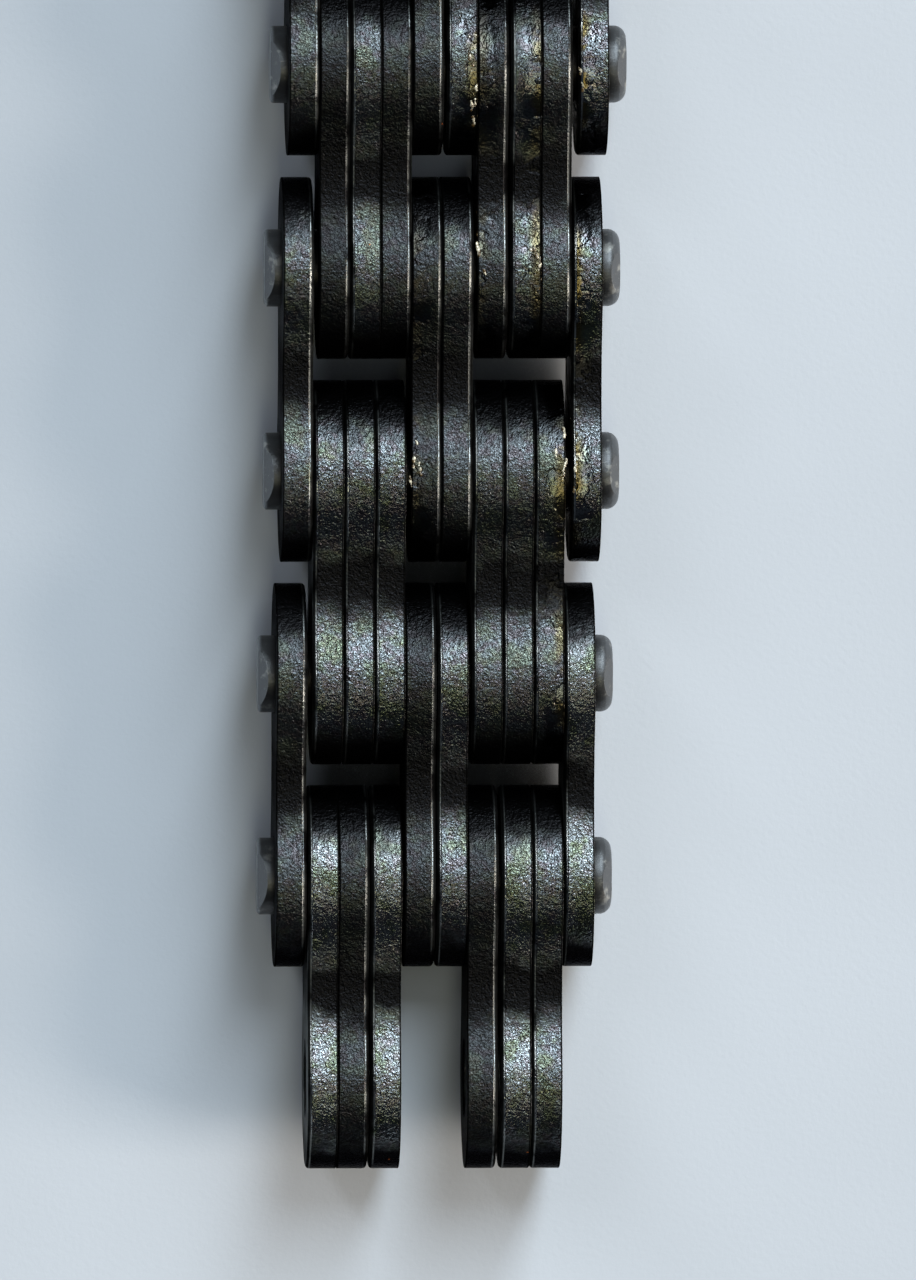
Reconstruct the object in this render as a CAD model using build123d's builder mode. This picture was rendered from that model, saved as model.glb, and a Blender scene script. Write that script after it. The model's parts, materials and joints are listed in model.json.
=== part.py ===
"""A short length of leaf chain, laced four by six, lying on the edges of its plates.

X runs along the pins, Y along the chain and Z up. The origin is under the middle of the chain, on the
surface that it lies on. Seven links in a row: the odd ones are inner links of six plates, the even
ones are outer links of four plates and two pins. Both ends are inner links with open bores.
"""

import os
from math import atan2, cos, sin

from build123d import *

# Chain
pitch = 15.875
link_count = 7

# Plates
plate_thickness = 2.35
plate_depth = 14.05
waist_depth = 10.7
edge_roll = 0.3
burr_break = 0.05
bore_break = 0.15

# Pins
pin_diameter = 5.96
bore_clearance = 0.04
left_overhang = 1.3
right_overhang = 1.55
left_rim = 0.3
right_rim = 0.95
stake_height = 1.85
stake_run = 0.75

# Lanes along the pins, counted from the left. The play is shared out by the slides below.
lane_count = 10
side_play = 1.1
inner_lanes = (1, 2, 3, 6, 7, 8)
outer_lanes = (0, 4, 5, 9)

# How far each plate has slid along its pins, as a share of the side play, one row for each link.
slides = {
    1: (-0.343, -0.427, -0.402, -0.362, -0.228, -0.303),
    2: (-0.364, -0.285, -0.287, -0.364),
    3: (-0.084, -0.163, -0.243, -0.139, -0.223, -0.307),
    4: (0.0, 0.03, -0.055, 0.0),
    5: (0.28, 0.196, 0.112, 0.093, 0.163, 0.079),
    6: (0.364, 0.06, 0.167, 0.364),
    7: (0.303, 0.219, 0.135, 0.265, 0.29, 0.225),
}

# The side of each plate that the punch has rolled over: L faces -X and R faces +X.
rolled_sides = {
    1: "LRLRLL",
    2: "RRLL",
    3: "LLLLLL",
    4: "RRRL",
    5: "RLRRLR",
    6: "RRLL",
    7: "RLLRRL",
}

# Places that follow from the sizes
end_radius = plate_depth / 2
pin_radius = pin_diameter / 2
pin_height = end_radius
lane_pitch = plate_thickness + side_play / (lane_count - 1)
stack_width = lane_count * plate_thickness + side_play
pin_length = left_overhang + stack_width + right_overhang
stack_centre = (left_overhang - right_overhang) / 2
waist_radius = ((pitch / 2) ** 2 + (waist_depth / 2) ** 2 - end_radius**2) / (plate_depth - waist_depth)
waist_angle = atan2(pitch / 2, waist_depth / 2 + waist_radius)


def joint_y(joint):
    """The place along the chain of a joint, counted from 0 at the front end."""
    return (joint - link_count / 2) * pitch


def lane_x(lane, slide):
    """The middle of a plate along the pins."""
    return stack_centre + (lane - (lane_count - 1) / 2) * lane_pitch + slide * side_play


def make_plate(label, link, lane, slide, rolled, bore_diameter):
    """A figure-eight plate, standing on edge from one joint of its link to the next."""
    side = -1 if rolled == "L" else 1
    middle = (joint_y(link - 1) + joint_y(link)) / 2
    near_face = Vector(lane_x(lane, slide) - plate_thickness / 2, middle, pin_height)
    tangent_y = pitch / 2 - end_radius * sin(waist_angle)
    tangent_z = end_radius * cos(waist_angle)
    tip = pitch / 2 + end_radius
    with BuildPart() as plate:
        with BuildSketch(Plane(near_face, x_dir=(0, 1, 0), z_dir=(1, 0, 0))):
            with BuildLine():
                ThreePointArc((-tangent_y, tangent_z), (0, waist_depth / 2), (tangent_y, tangent_z))
                ThreePointArc((tangent_y, tangent_z), (tip, 0), (tangent_y, -tangent_z))
                ThreePointArc((tangent_y, -tangent_z), (0, -waist_depth / 2), (-tangent_y, -tangent_z))
                ThreePointArc((-tangent_y, -tangent_z), (-tip, 0), (-tangent_y, tangent_z))
            make_face()
            with GridLocations(pitch, 0, 2, 1):
                Circle(bore_diameter / 2, mode=Mode.SUBTRACT)
        extrude(amount=plate_thickness)
        flats = plate.faces().filter_by(GeomType.PLANE).sort_by(Axis.X)
        rolled_face = flats[-1] if side > 0 else flats[0]
        sharp_face = flats[0] if side > 0 else flats[-1]
        rolled_edges = rolled_face.outer_wire().edges()
        sharp_edges = sharp_face.outer_wire().edges()
        bore_edges = plate.edges().filter_by(lambda edge: edge.is_closed and edge.geom_type == GeomType.CIRCLE)
        chamfer(bore_edges, bore_break)
        chamfer(sharp_edges, burr_break)
        fillet(rolled_edges, edge_roll)
    plate.part.label = label
    return plate.part


def make_pin(label, joint, slide):
    """A solid pin with rounded rims, staked above and below its middle at both ends."""
    left_end = lane_x(0, slide) - plate_thickness / 2 - left_overhang
    right_end = left_end + pin_length
    centre = Vector(left_end, joint_y(joint), pin_height)
    with BuildPart() as pin:
        with BuildSketch(Plane(centre, x_dir=(0, 1, 0), z_dir=(1, 0, 0))):
            Circle(pin_radius)
        extrude(amount=pin_length)
        fillet(pin.edges().filter_by(GeomType.CIRCLE).sort_by(Axis.X)[0], left_rim)
        fillet(pin.edges().filter_by(GeomType.CIRCLE).sort_by(Axis.X)[-1], right_rim)
        for end, outward in ((left_end, -1), (right_end, 1)):
            for upward in (1, -1):
                chord = Vector(end, joint_y(joint), pin_height + upward * stake_height)
                facing = Vector(outward * (pin_radius - stake_height), 0, upward * stake_run)
                split(bisect_by=Plane(chord, z_dir=facing), keep=Keep.BOTTOM)
    pin.part.label = label
    return pin.part


def make_inner_link(link):
    """Six plates that turn on the pins of the links beside them."""
    bore = pin_diameter + bore_clearance
    plates = []
    for count, lane in enumerate(inner_lanes):
        label = f"inner_plate_{link}_{'abcdef'[count]}"
        plates.append(make_plate(label, link, lane, slides[link][count], rolled_sides[link][count], bore))
    return plates


def make_outer_link(link):
    """Two end plates pressed on two pins, with two plates that slip on between them."""
    names = ("outer_plate_{}_left", "middle_plate_{}_left", "middle_plate_{}_right", "outer_plate_{}_right")
    pieces = []
    for count, lane in enumerate(outer_lanes):
        pressed = lane in (0, lane_count - 1)
        bore = pin_diameter if pressed else pin_diameter + bore_clearance
        label = names[count].format(link)
        pieces.append(make_plate(label, link, lane, slides[link][count], rolled_sides[link][count], bore))
    for joint in (link - 1, link):
        pieces.append(make_pin(f"pin_{joint}", joint, slides[link][0]))
    return pieces


os.makedirs("parts", exist_ok=True)
for link in range(1, link_count + 1):
    pieces = make_inner_link(link) if link % 2 else make_outer_link(link)
    for piece in pieces:
        export_step(piece, f"parts/{piece.label}.step")
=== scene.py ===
"""Finishes a short length of leaf chain and sets it on a sheet of paper under soft light.

The plates and pins keep their construction shape and get a blanked-steel or cut-steel surface. The oil
that has crept out between the plates is added as beads and runs.
"""

import json
import math
import random

import bmesh
import bpy
from bpy.props import FloatProperty, FloatVectorProperty, PointerProperty
from mathutils import Matrix, Vector

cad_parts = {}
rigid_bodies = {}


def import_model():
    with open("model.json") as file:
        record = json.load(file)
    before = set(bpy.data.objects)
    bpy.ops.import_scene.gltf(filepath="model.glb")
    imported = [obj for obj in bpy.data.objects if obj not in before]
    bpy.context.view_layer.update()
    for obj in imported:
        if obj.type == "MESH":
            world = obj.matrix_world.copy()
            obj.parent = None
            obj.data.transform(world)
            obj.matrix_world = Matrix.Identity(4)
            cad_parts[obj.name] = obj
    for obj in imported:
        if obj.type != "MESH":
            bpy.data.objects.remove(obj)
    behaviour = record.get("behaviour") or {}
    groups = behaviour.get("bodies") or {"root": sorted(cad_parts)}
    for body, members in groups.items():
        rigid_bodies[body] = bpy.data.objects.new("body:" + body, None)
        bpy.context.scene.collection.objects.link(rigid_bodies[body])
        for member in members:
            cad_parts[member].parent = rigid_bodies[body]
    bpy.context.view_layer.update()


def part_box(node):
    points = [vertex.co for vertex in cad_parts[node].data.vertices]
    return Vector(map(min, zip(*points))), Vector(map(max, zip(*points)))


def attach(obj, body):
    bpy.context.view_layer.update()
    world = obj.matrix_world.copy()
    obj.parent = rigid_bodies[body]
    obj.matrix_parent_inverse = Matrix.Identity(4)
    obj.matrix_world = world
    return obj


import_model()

bl_info = {
    "name": "Leaf Chain Finish",
    "version": (1, 0, 0),
    "blender": (4, 5, 0),
    "location": "View3D > Sidebar > Leaf Chain",
    "description": "Blanked steel plates, cut steel pins, oil and a paper sheet for a leaf chain",
    "category": "Object",
}

MM = 0.001
INNER_LINKS = (1, 3, 5, 7)
OUTER_LINKS = (2, 4, 6)
PIN_JOINTS = (1, 2, 3, 4, 5, 6)
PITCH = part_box("pin_2")[0][1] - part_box("pin_1")[0][1]
PLATE_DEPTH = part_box("inner_plate_1_a")[1][2]

# The side of each plate that the punch has rolled over, by link: L faces -X and R faces +X.
ROLLED_SIDES = {
    1: "LRLRLL",
    2: "RRLL",
    3: "LLLLLL",
    4: "RRRL",
    5: "RLRRLR",
    6: "RRLL",
    7: "RLLRRL",
}

# How brightly the crowns of each plate are rubbed: shining, bright, middling, low, dull or black.
POLISHED = {
    1: "sdsdsb",
    2: "ldbs",
    3: "bbbmmm",
    4: "mdlb",
    5: "kmddml",
    6: "ldmb",
    7: "mmbmmb",
}
# Above 1 the bare steel is tinted towards the edge colour: partly a finer polish, partly a painted highlight
POLISH = {"s": 1.12, "b": 1.0, "m": 0.66, "l": 0.42, "d": 0.24, "k": 0.12}

# Oil runs, by the plate that they cling to: its body, the side of the plate, the joint, the first and last
# angle in degrees from the top of the crown towards the back of the chain, and the number of streaks.
OIL_RUNS = {
    "middle_plate_6_right": ("outer_link_6", 1, 5, -38, 32, 9),
    "inner_plate_5_d": ("inner_link_5", -1, 4, -2, 50, 6),
    "inner_plate_5_e": ("inner_link_5", 1, 4, -12, 55, 10),
    "middle_plate_4_left": ("outer_link_4", -1, 3, -6, 50, 7),
    "inner_plate_3_f": ("inner_link_3", 1, 3, -10, 34, 5),
    "outer_plate_4_right": ("outer_link_4", -1, 3, -14, 48, 3),
    "outer_plate_6_right": ("outer_link_6", -1, 5, -24, 10, 2),
}

# Where the finish of a plate changes along it, counted outwards from the middle of the nearer bore: the
# crowns are rubbed bright, and the dark waists and ends beyond them are partly painted shade.
RUB_AND_SHADE_STARTS = (-6.8 * MM, -3.8 * MM)
RUB_AND_SHADE_ENDS = (5.2 * MM, 2.2 * MM)
RUB_AND_SHADE_WANDER = 4.0 * MM

# Where it changes across the plate, as a share of half its thickness: towards the rolled side, and in the
# last two towards the side that the oil comes from.
SIDE_FACE = (0.975, 0.995)
ROLLED_EDGE = (0.69, 0.76)
# The next two bound the near-black edges along the gaps: grime, and partly painted shade
ROLLED_GRIME_AND_SHADE = (0.79, 0.85)
BURR_GRIME_AND_SHADE = (-0.87, -0.92)
AMBER_REACH = (0.05, 0.70)
WET_REACH = (-0.7, 0.1)

# Noise patterns on a plate: feature sizes as multiples of the pit size, stretch, shifts that part them, and
# the shift from one plate to the next.
FINE_SIZE = 1 / 2.1
CLOUD_SIZE = 8
DRIFT_SIZE = 6
SPARK_SIZE = 2
PIT_STRETCH = (1.1, 0.9, 0.9)
DRIFT_SHIFT = (0.3, 0.1, 0.7)
SPARK_SHIFT = (0.9, 0.4, 0.2)
PLATE_SEED = (0.013, 0.029, 0.007)

# Noise levels between which an effect sets in, on plates, on pins and in oil.
FINE_PEAKS = (0.42, 0.58)
STAIN_SPARKS = (0.46, 0.60)
FILM_DRIFTS = (0.47, 0.62)
AMBER_DRIFTS = (0.42, 0.52)
WET_CLOUDS = (0.47, 0.55)
RIM_CLOUDS = (0.38, 0.56)
RUST_SPARKS = (0.765, 0.775)
RUST_DRIFTS = (0.56, 0.60)
WORN_SCRATCHES = (0.60, 0.80)
WORN_BLOOM = (0.56, 0.70)
AMBER_OIL_LEVELS = (0.44, 0.54)

# The near-black grime and painted shade in the gaps between plates
GRIME_AND_SHADE = (0.002, 0.002, 0.002, 1.0)

# How strong the effects on a plate are. A pair is a slope and a start.
PEAK_SHARE = (0.45, 0.55)
RIM_SHARE = (0.60, 0.25)
STAIN_SHARE = 0.6
FILM_SHARE = 0.7
# How strongly the gap edges take the near-black grime and painted shade
GRIME_AND_SHADE_SHARE = 0.95
CLEANER_SIDE = 0.5
CLOUD_ROUGHNESS = 0.20
DULL_ROUGHNESS = 0.16
GRIME_ROUGHNESS = 0.35
WET_SMOOTHING = 0.45
FINE_RELIEF = 0.55
ROLL_SMOOTHING = 0.6
OIL_FILLING = 0.7

# Finish of a pin: its patterns, where its ends turn from black to grey, along it and by how they face, and
# how strong the effects are.
BLOOM_SIZE = 1.3 * MM
SCRATCH_SIZE = 0.22 * MM
DENT_SIZE = 0.5 * MM
SCRATCH_STRETCH = (0.3, 1.0, 3.0)
PIN_END = (12.2 * MM, 12.8 * MM)
PIN_FACING = (0.22, 0.50)
PIN_SEED = (0.011, 0.023, 0.017)
FACING_WANDER = 0.5
HANDLED_SHARE = 0.6
BLOOM_ROUGHNESS = 0.30
DENT_RELIEF = 1.4

# Oil streaks: how far from the edge of the plate they start, and how many beads each has
STREAK_MARGIN = 0.08 * MM
STREAK_SPREAD = 0.8 * MM
STREAK_BEADS = (2, 7)

# Oil beads: radius, stretch along the streak, flatness, degrees from one to the next and how far that is off
# to a side, how deep they sit in the plate, and how far below its top they stay, as a share of the radius.
BEAD_RADIUS = (0.05 * MM, 0.14 * MM)
BEAD_STRETCH = (1.0, 1.8)
BEAD_FLATNESS = 0.5
BEAD_STEP = (0.7, 1.6)
BEAD_WANDER = 0.09 * MM
BEAD_SINK = 0.02 * MM
BEAD_CLEARANCE = 0.6

# Paper sheet: half its side, its fibres and its uneven tone
SHEET_REACH = 1.5
FIBRE_SIZE = 0.5 * MM
FIBRE_DEPTH = 0.02 * MM
FIBRE_SHARE = 0.35
TONE_SIZE = 30 * MM
TONE_LEVELS = (0.3, 0.7)
TONE_SHARE = 0.6
DULL_PAPER = 0.93

# Deep shade on the paper in the slots between plate packs: how near the plates that cover it are, how open
# it is to the room, how far it reaches from the middle, and where along the chain it sets in and stops.
SHADE_REACH = 15.0 * MM
SHADE_OPENNESS = (0.30, 0.10)
SHADE_WIDTH = (10.5 * MM, 8.0 * MM)
SHADE_START = (12.0 * MM, -8.0 * MM)
SHADE_END = (-42.0 * MM, -38.0 * MM)
SHADE_SAMPLES = 8

# The room around the stage: its colours, and where they change with the direction
LOW_ROOM = (0.012, 0.014, 0.018, 1.0)
HIGH_ROOM = (0.05, 0.06, 0.075, 1.0)
RIGHT_WALL = (0.52, 0.51, 0.50, 1.0)
BACKDROP = (0.62, 0.66, 0.71, 1.0)
UPWARDS = (0.15, 0.95)
RIGHTWARDS = (0.40, 0.90)
BACKDROP_EDGE = (0.05, 0.09)

# Camera
SENSOR_WIDTH = 36
CLIP = (0.01, 10.0)

# Area lamps: place and size in metres, power in watts and tint. All of them face the middle of the chain.
LAMPS = {
    "Window lamp": ((1.40, 4.30, 4.00), (1.60, 5.28), 368.0, (0.79, 0.91, 1.0)),
    "Sky lamp": ((0.16, 0.40, 2.98), (0.36, 1.36), 6.0, (0.88, 0.95, 1.0)),
    "Left lamp": ((-2.60, 3.32, 4.20), (0.48, 4.0), 49.6, (0.90, 0.95, 1.0)),
    "Warm lamp": ((0.06, -0.66, 2.92), (0.40, 1.10), 5.6, (1.0, 0.95, 0.62)),
    "Side lamp": ((4.16, -0.76, 2.00), (1.80, 2.20), 160.0, (1.0, 0.90, 0.79)),
}


def inner_plates(link):
    """The nodes of an inner link, from left to right."""
    return [f"inner_plate_{link}_{letter}" for letter in "abcdef"]


def outer_plates(link):
    """The nodes of an outer link without its pins, from left to right."""
    return [
        f"outer_plate_{link}_left",
        f"middle_plate_{link}_left",
        f"middle_plate_{link}_right",
        f"outer_plate_{link}_right",
    ]


def centre_of(node):
    """The middle of a node's box."""
    low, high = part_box(node)
    return (Vector(low) + Vector(high)) / 2


def size_of(node):
    """The sides of a node's box."""
    low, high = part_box(node)
    return Vector(high) - Vector(low)


# Settings


class PlateFinish(bpy.types.PropertyGroup):
    """Settings for the plates"""

    dark_steel: FloatVectorProperty(
        name="Dark steel",
        description="Colour of the oiled black oxide",
        subtype="COLOR",
        size=3,
        default=(0.0100, 0.0098, 0.0104),
    )
    bare_steel: FloatVectorProperty(
        name="Bare steel",
        description="Colour where the oxide is thin",
        subtype="COLOR",
        size=3,
        default=(0.152, 0.167, 0.175),
    )
    edge_steel: FloatVectorProperty(
        name="Edge steel",
        description="Colour of the rolled edges, which rub bare first",
        subtype="COLOR",
        size=3,
        default=(0.52, 0.54, 0.52),
    )
    bronze_stain: FloatVectorProperty(
        name="Bronze stain",
        description="Tint of the small stains in the bare steel",
        subtype="COLOR",
        size=3,
        default=(0.135, 0.105, 0.115),
    )
    olive_film: FloatVectorProperty(
        name="Olive film",
        description="Tint of the thin oil film",
        subtype="COLOR",
        size=3,
        default=(0.085, 0.105, 0.048),
    )
    amber_film: FloatVectorProperty(
        name="Amber film",
        description="Tint of the steel where oil has soaked out between the plates",
        subtype="COLOR",
        size=3,
        default=(0.090, 0.068, 0.026),
    )
    rust: FloatVectorProperty(
        name="Rust",
        description="Colour of the rust specks",
        subtype="COLOR",
        size=3,
        default=(0.36, 0.10, 0.03),
    )
    pit_size: FloatProperty(
        name="Pit size",
        description="Width of the pits in the blanked edges",
        unit="LENGTH",
        default=0.34 * MM,
        min=0.05 * MM,
    )
    pit_depth: FloatProperty(
        name="Pit depth",
        description="Depth of the pits in the blanked edges",
        unit="LENGTH",
        default=0.10 * MM,
        min=0.0,
    )
    roughness: FloatProperty(
        name="Roughness",
        description="Roughness of the clean steel",
        default=0.21,
        min=0.0,
        max=1.0,
    )


class PinFinish(bpy.types.PropertyGroup):
    """Settings for the pins"""

    black_steel: FloatVectorProperty(
        name="Black steel",
        description="Colour of the pin's oiled sides",
        subtype="COLOR",
        size=3,
        default=(0.022, 0.020, 0.018),
    )
    cut_steel: FloatVectorProperty(
        name="Cut steel",
        description="Colour of the pin ends",
        subtype="COLOR",
        size=3,
        default=(0.14, 0.145, 0.15),
    )
    worn_steel: FloatVectorProperty(
        name="Worn steel",
        description="Colour of the pin's rims and facets",
        subtype="COLOR",
        size=3,
        default=(0.34, 0.34, 0.32),
    )
    scratch_depth: FloatProperty(
        name="Scratch depth",
        description="Depth of the fine scratches on the pins",
        unit="LENGTH",
        default=0.012 * MM,
        min=0.0,
    )
    roughness: FloatProperty(
        name="Roughness",
        description="Roughness of the pins",
        default=0.42,
        min=0.0,
        max=1.0,
    )


class OilFinish(bpy.types.PropertyGroup):
    """Settings for the oil beads"""

    amber: FloatVectorProperty(
        name="Amber",
        description="Colour of the oil where it gathers",
        subtype="COLOR",
        size=3,
        default=(0.085, 0.052, 0.016),
    )
    # The pale cream is a painted glint on the oil
    glossy: FloatVectorProperty(
        name="Glossy",
        description="Colour of the oil where it has frothed and shines",
        subtype="COLOR",
        size=3,
        default=(0.62, 0.56, 0.42),
    )
    ripple: FloatProperty(
        name="Ripple",
        description="Width of the ripples on the oil",
        unit="LENGTH",
        default=0.7 * MM,
        min=0.05 * MM,
    )
    roughness: FloatProperty(
        name="Roughness",
        description="Roughness of the wet oil",
        default=0.12,
        min=0.0,
        max=1.0,
    )


class StageSetup(bpy.types.PropertyGroup):
    """Settings for the paper and the camera"""

    paper: FloatVectorProperty(
        name="Paper",
        description="Colour of the sheet under the chain",
        subtype="COLOR",
        size=3,
        default=(0.60, 0.635, 0.685),
    )
    shaded_paper: FloatVectorProperty(
        name="Shaded paper",
        description="Colour of the sheet deep down in the slots of the chain",
        subtype="COLOR",
        size=3,
        default=(0.070, 0.070, 0.066),
    )
    camera_distance: FloatProperty(
        name="Camera distance",
        description="From the camera to the point that it looks at",
        unit="LENGTH",
        default=2.5,
    )
    view_height: FloatProperty(
        name="View height",
        description="Length of the chain that fills the height of the picture",
        unit="LENGTH",
        default=99.0 * MM,
    )
    tilt_back: FloatProperty(
        name="Tilt back",
        description="How far the camera stands off the vertical, towards the back end of the chain",
        subtype="ANGLE",
        unit="ROTATION",
        default=math.radians(9.4),
    )
    tilt_left: FloatProperty(
        name="Tilt left",
        description="How far the camera stands off the vertical, towards the left ends of the pins",
        subtype="ANGLE",
        unit="ROTATION",
        default=math.radians(2.3),
    )
    roll: FloatProperty(
        name="Roll",
        description="Turn of the picture about the camera's own axis",
        subtype="ANGLE",
        unit="ROTATION",
        default=math.radians(0.26),
    )
    aim: FloatVectorProperty(
        name="Aim",
        description="The point that the camera looks at",
        subtype="XYZ",
        unit="LENGTH",
        size=3,
        default=(1.4 * MM, -21.2 * MM, 7.0 * MM),
    )


# Node helpers


class Wiring:
    """A node tree with short calls to add nodes and to join them."""

    def __init__(self, tree):
        self.tree = tree
        tree.nodes.clear()

    def node(self, kind, **inputs):
        """Adds a node and fills the inputs that are named, with underscores for spaces."""
        made = self.tree.nodes.new(kind)
        for name, value in inputs.items():
            self.put(made.inputs[name.replace("_", " ")], value)
        return made

    def put(self, socket, value):
        """Joins a socket to an input, or gives the input a value."""
        if isinstance(value, bpy.types.NodeSocket):
            self.tree.links.new(value, socket)
        else:
            socket.default_value = value

    def maths(self, operation, *values):
        """What a Math node makes of some values."""
        made = self.tree.nodes.new("ShaderNodeMath")
        made.operation = operation
        for socket, value in zip(made.inputs, values):
            self.put(socket, value)
        return made.outputs[0]

    def ramp(self, value, low, high):
        """Runs smoothly from 0 at low to 1 at high."""
        made = self.tree.nodes.new("ShaderNodeMapRange")
        made.interpolation_type = "SMOOTHSTEP"
        self.put(made.inputs["Value"], value)
        made.inputs["From Min"].default_value = low
        made.inputs["From Max"].default_value = high
        return made.outputs["Result"]

    def mix(self, factor, first, second):
        """Mixes two colours."""
        made = self.tree.nodes.new("ShaderNodeMix")
        made.data_type = "RGBA"
        for socket, value in ((made.inputs[0], factor), (made.inputs[6], first), (made.inputs[7], second)):
            self.put(socket, value)
        return made.outputs[2]

    def times(self, first, *others):
        """The product of several values."""
        for other in others:
            first = self.maths("MULTIPLY", first, other)
        return first

    def line(self, value, slope, start):
        """The start plus slope times the value."""
        return self.maths("MULTIPLY_ADD", value, slope, start)

    def noise(self, vector, feature, detail=2.0, roughness=0.5):
        """Cloudy noise whose features are about the given length."""
        made = self.tree.nodes.new("ShaderNodeTexNoise")
        self.put(made.inputs["Vector"], vector)
        made.inputs["Scale"].default_value = 1 / feature
        made.inputs["Detail"].default_value = detail
        made.inputs["Roughness"].default_value = roughness
        return made.outputs["Fac"]


def colour(value):
    """A colour with full alpha."""
    return (*value, 1.0)


def new_group(name, inputs, outputs):
    """A shader group with the given sockets, and its wiring, way in and way out."""
    tree = bpy.data.node_groups.new(name, "ShaderNodeTree")
    for label, kind in inputs:
        tree.interface.new_socket(name=label, in_out="INPUT", socket_type=kind)
    for label, kind in outputs:
        tree.interface.new_socket(name=label, in_out="OUTPUT", socket_type=kind)
    wiring = Wiring(tree)
    return wiring, wiring.node("NodeGroupInput").outputs, wiring.node("NodeGroupOutput").inputs


def group_node(wiring, name, **inputs):
    """Places a shader group in a material and gives it its values."""
    made = wiring.tree.nodes.new("ShaderNodeGroup")
    made.node_tree = bpy.data.node_groups[name]
    for label, value in inputs.items():
        wiring.put(made.inputs[label.replace("_", " ")], value)
    return made.outputs


def add_vectors(wiring, first, second):
    """The sum of two vectors."""
    made = wiring.tree.nodes.new("ShaderNodeVectorMath")
    made.operation = "ADD"
    wiring.put(made.inputs[0], first)
    wiring.put(made.inputs[1], second)
    return made.outputs[0]


def stretched(wiring, vector, factors):
    """A vector times a constant one, part by part."""
    made = wiring.tree.nodes.new("ShaderNodeVectorMath")
    made.operation = "MULTIPLY"
    wiring.put(made.inputs[0], vector)
    wiring.put(made.inputs[1], factors)
    return made.outputs[0]


# Shared surface effects


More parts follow.
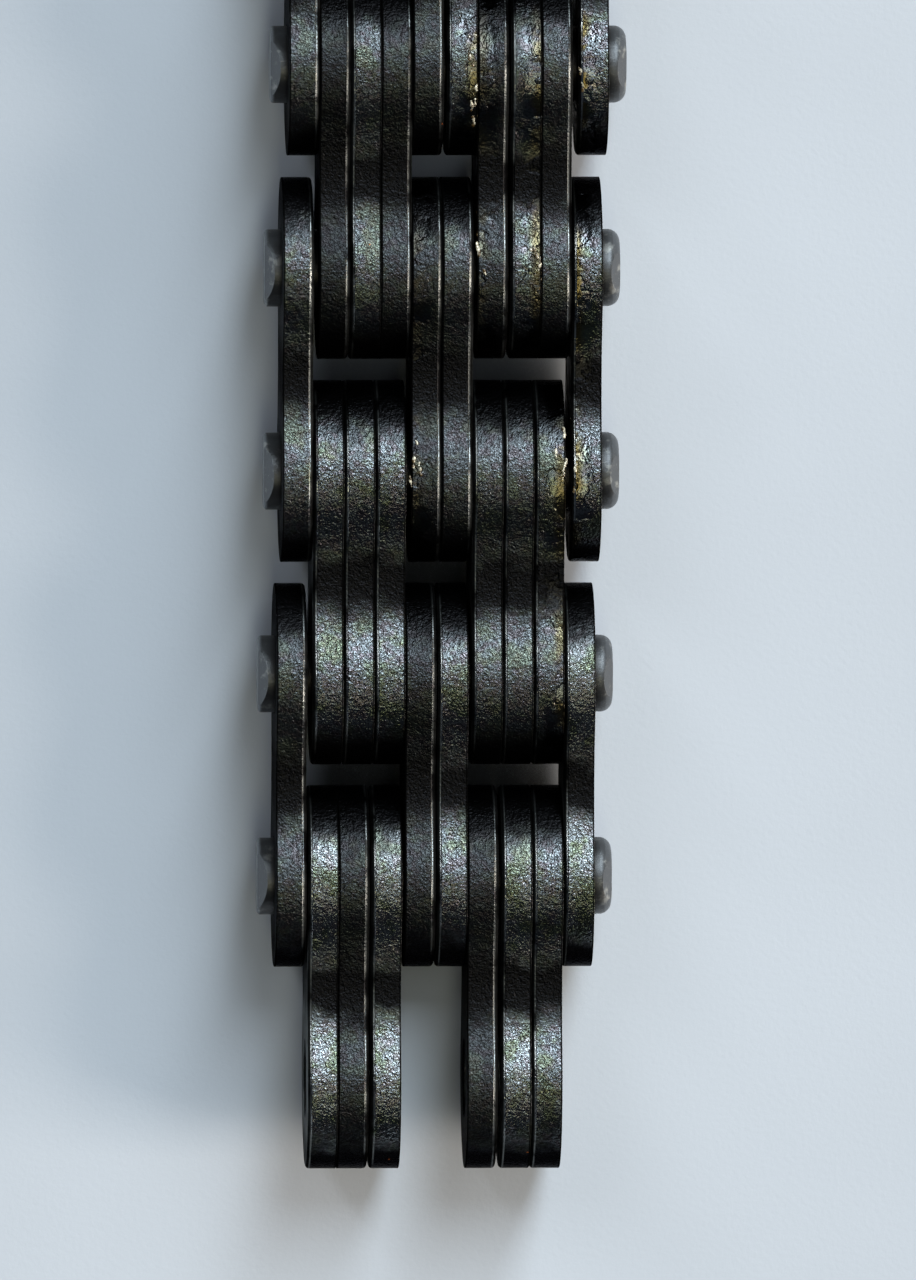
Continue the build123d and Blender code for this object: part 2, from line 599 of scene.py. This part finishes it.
def build_blanked_steel(plates):
    """Pitted, oiled steel as a blanking punch leaves it: rubbed bright on the crowns, black elsewhere, the
    black of the ends and waists partly painted shade, with near-black grime and painted shade along the
    gaps.
    """
    wiring, given, result = new_group(
        "Blanked steel",
        [
            ("Place", "NodeSocketVector"),
            ("Seed", "NodeSocketVector"),
            ("Half thickness", "NodeSocketFloat"),
            ("Half pitch", "NodeSocketFloat"),
            ("Rolled side", "NodeSocketFloat"),
            ("Polish", "NodeSocketFloat"),
            ("Dark", "NodeSocketColor"),
            ("Bare", "NodeSocketColor"),
            ("Stain", "NodeSocketColor"),
            ("Film", "NodeSocketColor"),
            ("Rust", "NodeSocketColor"),
            ("Edge", "NodeSocketColor"),
            ("Soaked side", "NodeSocketFloat"),
            ("Amber", "NodeSocketColor"),
        ],
        [
            ("Colour", "NodeSocketColor"),
            ("Roughness", "NodeSocketFloat"),
            ("Height", "NodeSocketFloat"),
        ],
    )
    parts = wiring.node("ShaderNodeSeparateXYZ", Vector=given["Place"]).outputs
    from_middle = wiring.maths("DIVIDE", parts[0], given["Half thickness"])
    across = wiring.times(from_middle, given["Rolled side"])
    soaked = wiring.times(from_middle, given["Soaked side"])
    past_bore = wiring.maths("SUBTRACT", wiring.maths("ABSOLUTE", parts[1]), given["Half pitch"])

    grain = add_vectors(wiring, given["Place"], given["Seed"])
    drift_grain = add_vectors(wiring, grain, DRIFT_SHIFT)
    spark_grain = add_vectors(wiring, grain, SPARK_SHIFT)
    pits = wiring.noise(stretched(wiring, grain, PIT_STRETCH), plates.pit_size, 2.0, 0.6)
    fine = wiring.noise(grain, plates.pit_size * FINE_SIZE, 1.0)
    clouds = wiring.noise(grain, plates.pit_size * CLOUD_SIZE, 3.0, 0.55)
    drifts = wiring.noise(drift_grain, plates.pit_size * DRIFT_SIZE, 3.0, 0.6)
    sparks = wiring.noise(spark_grain, plates.pit_size * SPARK_SIZE, 2.0)
    unevenness = wiring.maths("SUBTRACT", clouds, 0.5)

    # Where the plate is rubbed, rolled, grimed and wet; the unrubbed ends and waists and the grime along the
    # gaps are partly painted shade
    outline = wiring.line(unevenness, RUB_AND_SHADE_WANDER, past_bore)
    past_waist = wiring.ramp(outline, *RUB_AND_SHADE_STARTS)
    before_tip = wiring.ramp(outline, *RUB_AND_SHADE_ENDS)
    # Bright on the rubbed crowns; low on the waists and ends, which stay dark partly as painted shade
    rub_and_shade = wiring.times(past_waist, before_tip, given["Polish"])
    roll = wiring.ramp(across, *ROLLED_EDGE)
    side_face = wiring.ramp(wiring.maths("ABSOLUTE", across), *SIDE_FACE)
    # Near-black along both edges by the gaps: grime, and partly painted shade
    rolled_grime_and_shade = wiring.ramp(across, *ROLLED_GRIME_AND_SHADE)
    burr_grime_and_shade = wiring.ramp(across, *BURR_GRIME_AND_SHADE)
    both_edges = wiring.maths("MAXIMUM", rolled_grime_and_shade, burr_grime_and_shade)
    grime_and_shade = wiring.times(both_edges, wiring.line(side_face, -CLEANER_SIDE, 1.0))
    has_oil = wiring.maths("ABSOLUTE", given["Soaked side"])
    wet = wiring.times(wiring.ramp(soaked, *WET_REACH), has_oil, wiring.ramp(clouds, *WET_CLOUDS))

    # Colour: bare peaks on dark steel, then film and amber oil, bright rims, grime with painted shade, and
    # rust on top
    peaks = wiring.times(rub_and_shade, wiring.line(wiring.ramp(fine, *FINE_PEAKS), *PEAK_SHARE))
    stain = wiring.times(wiring.ramp(sparks, *STAIN_SPARKS), STAIN_SHARE)
    # Plates polished above 1 get paler bare steel, partly as a painted highlight
    extra_polish_and_highlight = wiring.maths("SUBTRACT", given["Polish"], 1.0)
    bare = wiring.mix(extra_polish_and_highlight, wiring.mix(stain, given["Bare"], given["Stain"]), given["Edge"])
    film = wiring.times(wiring.ramp(drifts, *FILM_DRIFTS), wiring.times(peaks, FILM_SHARE))
    oily = wiring.times(wiring.ramp(soaked, *AMBER_REACH), wiring.ramp(drifts, *AMBER_DRIFTS), rub_and_shade)
    rim = wiring.times(roll, wiring.ramp(clouds, *RIM_CLOUDS), wiring.line(rub_and_shade, *RIM_SHARE))
    rust = wiring.times(wiring.ramp(sparks, *RUST_SPARKS), wiring.ramp(drifts, *RUST_DRIFTS))
    shade = wiring.mix(peaks, given["Dark"], bare)
    shade = wiring.mix(film, shade, given["Film"])
    shade = wiring.mix(oily, shade, given["Amber"])
    shade = wiring.mix(rim, shade, given["Edge"])
    shade = wiring.mix(wiring.times(grime_and_shade, GRIME_AND_SHADE_SHARE), shade, GRIME_AND_SHADE)
    wiring.put(result["Colour"], wiring.mix(rust, shade, given["Rust"]))

    uneven = wiring.line(unevenness, CLOUD_ROUGHNESS, plates.roughness)
    dull = wiring.line(wiring.maths("SUBTRACT", 1.0, rub_and_shade), DULL_ROUGHNESS, uneven)
    dry = wiring.line(grime_and_shade, GRIME_ROUGHNESS, dull)
    wiring.put(result["Roughness"], wiring.times(dry, wiring.line(wet, -WET_SMOOTHING, 1.0)))

    relief = wiring.line(fine, FINE_RELIEF, pits)
    calmer_roll = wiring.line(roll, -ROLL_SMOOTHING, 1.0)
    filled_pits = wiring.line(wet, -OIL_FILLING, 1.0)
    wiring.put(result["Height"], wiring.times(relief, wiring.times(calmer_roll, filled_pits)))


def build_cut_steel(pins):
    """Steel bar with black oiled sides, and ends that a staking punch has pressed bare and grey."""
    wiring, given, result = new_group(
        "Cut steel",
        [
            ("Place", "NodeSocketVector"),
            ("Seed", "NodeSocketVector"),
            ("Facing", "NodeSocketFloat"),
            ("Black", "NodeSocketColor"),
            ("Cut", "NodeSocketColor"),
            ("Worn", "NodeSocketColor"),
        ],
        [
            ("Colour", "NodeSocketColor"),
            ("Roughness", "NodeSocketFloat"),
            ("Height", "NodeSocketFloat"),
        ],
    )
    grain = add_vectors(wiring, given["Place"], given["Seed"])
    bloom = wiring.noise(grain, BLOOM_SIZE, 4.0, 0.6)
    scratches = wiring.noise(stretched(wiring, grain, SCRATCH_STRETCH), SCRATCH_SIZE, 3.0, 0.6)
    dents = wiring.noise(grain, DENT_SIZE, 2.0)
    facing = wiring.line(wiring.maths("SUBTRACT", bloom, 0.5), FACING_WANDER, given["Facing"])
    along = wiring.node("ShaderNodeSeparateXYZ", Vector=given["Place"]).outputs[0]
    handled = wiring.times(wiring.ramp(wiring.maths("ABSOLUTE", along), *PIN_END), HANDLED_SHARE)
    ends = wiring.maths("MAXIMUM", wiring.ramp(facing, *PIN_FACING), handled)
    worn_lines = wiring.ramp(scratches, *WORN_SCRATCHES)
    wear = wiring.maths("MAXIMUM", worn_lines, wiring.ramp(bloom, *WORN_BLOOM))
    grey = wiring.mix(wear, given["Cut"], given["Worn"])
    wiring.put(result["Colour"], wiring.mix(ends, given["Black"], grey))
    smoothest = pins.roughness - BLOOM_ROUGHNESS / 2
    wiring.put(result["Roughness"], wiring.line(bloom, BLOOM_ROUGHNESS, smoothest))
    wiring.put(result["Height"], wiring.line(dents, DENT_RELIEF, scratches))


# Materials


def new_material(name):
    """A material with its wiring, its shader and the object coordinates."""
    made = bpy.data.materials.new(name)
    made.use_nodes = True
    wiring = Wiring(made.node_tree)
    shader = wiring.node("ShaderNodeBsdfPrincipled")
    wiring.node("ShaderNodeOutputMaterial", Surface=shader.outputs[0])
    place = wiring.node("ShaderNodeTexCoord").outputs["Object"]
    return made, wiring, shader, place


def bump(wiring, shader, height, depth):
    """Gives a shader relief of the given depth."""
    made = wiring.node("ShaderNodeBump", Height=height, Distance=depth, Strength=1.0)
    wiring.put(shader.inputs["Normal"], made.outputs[0])


def abs_facing(wiring):
    """How squarely the surface faces along the pins, from 0 on a pin's side to 1 on its end."""
    normal = wiring.node("ShaderNodeNewGeometry").outputs["Normal"]
    along = wiring.node("ShaderNodeSeparateXYZ", Vector=normal).outputs[0]
    return wiring.maths("ABSOLUTE", along)


def plate_material(node, rolled, polish, seed, plates):
    """Blanked steel for one plate, laid out from that plate's own middle."""
    made, wiring, shader, place = new_material(f"{node} steel")
    surface = group_node(
        wiring,
        "Blanked steel",
        Place=add_vectors(wiring, place, tuple(-centre_of(node))),
        Seed=[part * seed for part in PLATE_SEED],
        Half_thickness=size_of(node).x / 2,
        Half_pitch=PITCH / 2,
        Polish=polish,
        Rolled_side=rolled,
        Dark=colour(plates.dark_steel),
        Bare=colour(plates.bare_steel),
        Stain=colour(plates.bronze_stain),
        Film=colour(plates.olive_film),
        Rust=colour(plates.rust),
        Edge=colour(plates.edge_steel),
        Soaked_side=OIL_RUNS[node][1] if node in OIL_RUNS else 0.0,
        Amber=colour(plates.amber_film),
    )
    wiring.put(shader.inputs["Base Color"], surface["Colour"])
    wiring.put(shader.inputs["Roughness"], surface["Roughness"])
    shader.inputs["Metallic"].default_value = 1.0
    shader.inputs["Specular Tint"].default_value = (0.35, 0.35, 0.36, 1.0)
    bump(wiring, shader, surface["Height"], plates.pit_depth)
    return made


def pin_material(node, seed, pins):
    """Cut steel for one pin, laid out from that pin's own axis."""
    made, wiring, shader, place = new_material(f"{node} steel")
    surface = group_node(
        wiring,
        "Cut steel",
        Place=add_vectors(wiring, place, tuple(-centre_of(node))),
        Seed=[part * seed for part in PIN_SEED],
        Facing=abs_facing(wiring),
        Black=colour(pins.black_steel),
        Cut=colour(pins.cut_steel),
        Worn=colour(pins.worn_steel),
    )
    wiring.put(shader.inputs["Base Color"], surface["Colour"])
    wiring.put(shader.inputs["Roughness"], surface["Roughness"])
    shader.inputs["Metallic"].default_value = 0.9
    bump(wiring, shader, surface["Height"], pins.scratch_depth)
    return made


def oil_material(oil):
    """Thick oil, amber, with pale cream painted on in patches as glints."""
    made, wiring, shader, place = new_material("Oil beads")
    # Amber oil with pale patches of painted glint
    clear = wiring.ramp(wiring.noise(place, oil.ripple), *AMBER_OIL_LEVELS)
    wiring.put(shader.inputs["Base Color"], wiring.mix(clear, colour(oil.glossy), colour(oil.amber)))
    shader.inputs["Roughness"].default_value = oil.roughness
    shader.inputs["Metallic"].default_value = 0.15
    shader.inputs["Specular IOR Level"].default_value = 1.0
    bump(wiring, shader, wiring.noise(place, oil.ripple / 2), oil.ripple / 10)
    return made


def deep_shade(wiring, place):
    """How dark the paper lies in the slots between plate packs: black in front, as if seen at a slant."""
    parts = wiring.node("ShaderNodeSeparateXYZ", Vector=place).outputs
    openness = wiring.node("ShaderNodeAmbientOcclusion", Distance=SHADE_REACH)
    openness.samples = SHADE_SAMPLES
    covered = wiring.ramp(openness.outputs["AO"], *SHADE_OPENNESS)
    under_packs = wiring.ramp(wiring.maths("ABSOLUTE", parts[0]), *SHADE_WIDTH)
    towards_front = wiring.ramp(parts[1], *SHADE_START)
    before_end = wiring.ramp(parts[1], *SHADE_END)
    return wiring.times(towards_front, before_end, wiring.times(covered, under_packs))


def paper_material(stage):
    """Matt paper with faint fibres and uneven tone."""
    made, wiring, shader, place = new_material("Paper sheet")
    fibres = wiring.noise(place, FIBRE_SIZE, 4.0, 0.65)
    tone = wiring.noise(place, TONE_SIZE)
    pale = colour(stage.paper)
    dull = colour([part * DULL_PAPER for part in stage.paper])
    unevenness = wiring.line(fibres, FIBRE_SHARE, wiring.ramp(tone, *TONE_LEVELS))
    clean = wiring.mix(wiring.times(unevenness, TONE_SHARE), pale, dull)
    shaded = wiring.mix(deep_shade(wiring, place), clean, colour(stage.shaded_paper))
    wiring.put(shader.inputs["Base Color"], shaded)
    shader.inputs["Roughness"].default_value = 0.85
    bump(wiring, shader, fibres, FIBRE_DEPTH)
    return made


# Pieces


def dress(node, material):
    """Gives a construction piece its finish."""
    for slot in bpy.data.objects[node].material_slots:
        slot.material = material


def dress_links(links, plates_of, plates):
    """Finishes every plate of some links, each with its own seed, rolled side and polish."""
    for link in links:
        for count, node in enumerate(plates_of(link)):
            rolled = 1.0 if ROLLED_SIDES[link][count] == "R" else -1.0
            polish = POLISH[POLISHED[link][count]]
            dress(node, plate_material(node, rolled, polish, 10 * link + count, plates))


def crown_point(joint_y, x, angle, depth):
    """A place sunk a little into the round end of a plate, at least the given depth below its top."""
    radius = PLATE_DEPTH / 2 - BEAD_SINK
    turn = math.radians(angle)
    height = PLATE_DEPTH / 2 + radius * math.cos(turn)
    return Vector((x, joint_y + radius * math.sin(turn), min(height, PLATE_DEPTH - depth)))


def add_oil_run(name, plate, material):
    """Wandering streaks of thick oil along the edge of a plate, most of them close to the gap."""
    body, side, joint, first, last, count = OIL_RUNS[plate]
    low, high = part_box(plate)
    edge = high[0] if side > 0 else low[0]
    joint_y = centre_of(f"pin_{joint}").y
    chance = random.Random(name)
    mesh = bmesh.new()
    for streak in range(count):
        angle = first + (last - first) * (streak + chance.random()) / count
        x = edge - side * (STREAK_MARGIN + STREAK_SPREAD * chance.random() ** 2)
        for bead in range(chance.randint(*STREAK_BEADS)):
            size = chance.uniform(*BEAD_RADIUS)
            angle += chance.uniform(*BEAD_STEP)
            x += chance.uniform(-BEAD_WANDER, BEAD_WANDER)
            ball = bmesh.ops.create_icosphere(mesh, subdivisions=2, radius=size)["verts"]
            shape = (1.0, chance.uniform(*BEAD_STRETCH), BEAD_FLATNESS)
            turn = Matrix.Rotation(-math.radians(angle), 3, "X")
            bmesh.ops.scale(mesh, vec=shape, verts=ball)
            bmesh.ops.rotate(mesh, matrix=turn, verts=ball)
            place = crown_point(joint_y, x, angle, BEAD_CLEARANCE * size)
            bmesh.ops.translate(mesh, vec=place, verts=ball)
    for face in mesh.faces:
        face.smooth = True
    data = bpy.data.meshes.new(name)
    mesh.to_mesh(data)
    mesh.free()
    data.materials.append(material)
    run = bpy.data.objects.new(name, data)
    bpy.context.collection.objects.link(run)
    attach(run, body)


# Lamps, camera and room


def add_lamp(name, place, size, power, tint):
    """Hangs an area lamp that faces the middle of the chain."""
    light = bpy.data.lights.new(name, "AREA")
    light.shape = "RECTANGLE"
    light.size, light.size_y = size
    light.energy = power
    light.color = tint
    lamp = bpy.data.objects.new(name, light)
    lamp.location = place
    lamp.rotation_euler = Vector(place).to_track_quat("Z", "Y").to_euler()
    bpy.context.collection.objects.link(lamp)


def add_camera(stage):
    """Sets a long lens over the chain, leaning a little to its back and its left."""
    data = bpy.data.cameras.new("Camera")
    data.sensor_width = SENSOR_WIDTH
    data.lens = data.sensor_width * stage.camera_distance / stage.view_height
    data.clip_start, data.clip_end = CLIP
    camera = bpy.data.objects.new("Camera", data)
    turn = (
        Matrix.Rotation(-stage.tilt_left, 4, "Y")
        @ Matrix.Rotation(-stage.tilt_back, 4, "X")
        @ Matrix.Rotation(stage.roll, 4, "Z")
    )
    camera.matrix_world = (
        Matrix.Translation(Vector(stage.aim)) @ turn @ Matrix.Translation((0, 0, stage.camera_distance))
    )
    bpy.context.collection.objects.link(camera)
    bpy.context.scene.camera = camera


def light_world():
    """A dim room, lighter overhead and to the right, with a plain pale backdrop behind the paper's edge."""
    world = bpy.data.worlds.new("Room")
    bpy.context.scene.world = world
    world.use_nodes = True
    wiring = Wiring(world.node_tree)
    direction = wiring.node("ShaderNodeTexCoord").outputs["Generated"]
    heading = wiring.node("ShaderNodeSeparateXYZ", Vector=direction).outputs
    room = wiring.mix(wiring.ramp(heading[2], *UPWARDS), LOW_ROOM, HIGH_ROOM)
    room = wiring.mix(wiring.ramp(heading[0], *RIGHTWARDS), room, RIGHT_WALL)
    tint = wiring.mix(wiring.ramp(heading[2], *BACKDROP_EDGE), BACKDROP, room)
    background = wiring.node("ShaderNodeBackground", Color=tint, Strength=1.0)
    wiring.node("ShaderNodeOutputWorld", Surface=background.outputs[0])


# Operators


class LEAF_OT_surfaces(bpy.types.Operator):
    """Build the surface effects that the pieces share"""

    bl_idname = "leaf.surfaces"
    bl_label = "Build Surfaces"

    def execute(self, context):
        build_blanked_steel(context.scene.leaf_plates)
        build_cut_steel(context.scene.leaf_pins)
        return {"FINISHED"}


class LEAF_OT_inner_plates(bpy.types.Operator):
    """Finish the six plates of each inner link"""

    bl_idname = "leaf.inner_plates"
    bl_label = "Finish Inner Plates"

    def execute(self, context):
        dress_links(INNER_LINKS, inner_plates, context.scene.leaf_plates)
        return {"FINISHED"}


class LEAF_OT_outer_plates(bpy.types.Operator):
    """Finish the four plates of each outer link"""

    bl_idname = "leaf.outer_plates"
    bl_label = "Finish Outer Plates"

    def execute(self, context):
        dress_links(OUTER_LINKS, outer_plates, context.scene.leaf_plates)
        return {"FINISHED"}


class LEAF_OT_pins(bpy.types.Operator):
    """Finish the staked pins"""

    bl_idname = "leaf.pins"
    bl_label = "Finish Pins"

    def execute(self, context):
        for joint in PIN_JOINTS:
            node = f"pin_{joint}"
            dress(node, pin_material(node, joint, context.scene.leaf_pins))
        return {"FINISHED"}


class LEAF_OT_oil(bpy.types.Operator):
    """Add the oil that has crept out between the plates"""

    bl_idname = "leaf.oil"
    bl_label = "Add Oil"

    def execute(self, context):
        oil = context.scene.leaf_oil
        material = oil_material(oil)
        for number, plate in enumerate(OIL_RUNS, 1):
            add_oil_run(f"oil_run_{number}", plate, material)
        return {"FINISHED"}


class LEAF_OT_stage(bpy.types.Operator):
    """Lay the paper sheet and set the lamps and the camera"""

    bl_idname = "leaf.stage"
    bl_label = "Set Stage"

    def execute(self, context):
        stage = context.scene.leaf_stage
        mesh = bmesh.new()
        bmesh.ops.create_grid(mesh, x_segments=1, y_segments=1, size=SHEET_REACH)
        data = bpy.data.meshes.new("paper_sheet")
        mesh.to_mesh(data)
        mesh.free()
        sheet = bpy.data.objects.new("paper_sheet", data)
        sheet.data.materials.append(paper_material(stage))
        context.collection.objects.link(sheet)
        for name, (place, size, power, tint) in LAMPS.items():
            add_lamp(name, place, size, power, tint)
        light_world()
        add_camera(stage)
        context.scene.view_settings.view_transform = "Standard"
        return {"FINISHED"}


class LEAF_PT_panel(bpy.types.Panel):
    """Lists the steps that finish the chain"""

    bl_idname = "LEAF_PT_panel"
    bl_label = "Leaf Chain"
    bl_space_type = "VIEW_3D"
    bl_region_type = "UI"
    bl_category = "Leaf Chain"

    def draw(self, context):
        column = self.layout.column()
        for step in STEPS:
            column.operator(step.bl_idname)
        for name in SETTINGS:
            box = self.layout.box()
            group = getattr(context.scene, name)
            for setting in group.bl_rna.properties.keys():
                if setting not in ("rna_type", "name"):
                    box.prop(group, setting)


SETTINGS = {
    "leaf_plates": PlateFinish,
    "leaf_pins": PinFinish,
    "leaf_oil": OilFinish,
    "leaf_stage": StageSetup,
}
STEPS = (
    LEAF_OT_surfaces,
    LEAF_OT_inner_plates,
    LEAF_OT_outer_plates,
    LEAF_OT_pins,
    LEAF_OT_oil,
    LEAF_OT_stage,
)


def register():
    """Makes the settings, the steps and the panel known to Blender."""
    for group in SETTINGS.values():
        bpy.utils.register_class(group)
    for step in STEPS:
        bpy.utils.register_class(step)
    bpy.utils.register_class(LEAF_PT_panel)
    for name, group in SETTINGS.items():
        setattr(bpy.types.Scene, name, PointerProperty(type=group))


def unregister():
    """Takes them away again."""
    for name in SETTINGS:
        delattr(bpy.types.Scene, name)
    bpy.utils.unregister_class(LEAF_PT_panel)
    for step in reversed(STEPS):
        bpy.utils.unregister_class(step)
    for group in reversed(SETTINGS.values()):
        bpy.utils.unregister_class(group)


def main():
    """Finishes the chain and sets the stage."""
    register()
    bpy.ops.leaf.surfaces()
    bpy.ops.leaf.inner_plates()
    bpy.ops.leaf.outer_plates()
    bpy.ops.leaf.pins()
    bpy.ops.leaf.oil()
    bpy.ops.leaf.stage()


if __name__ == "__main__":
    main()
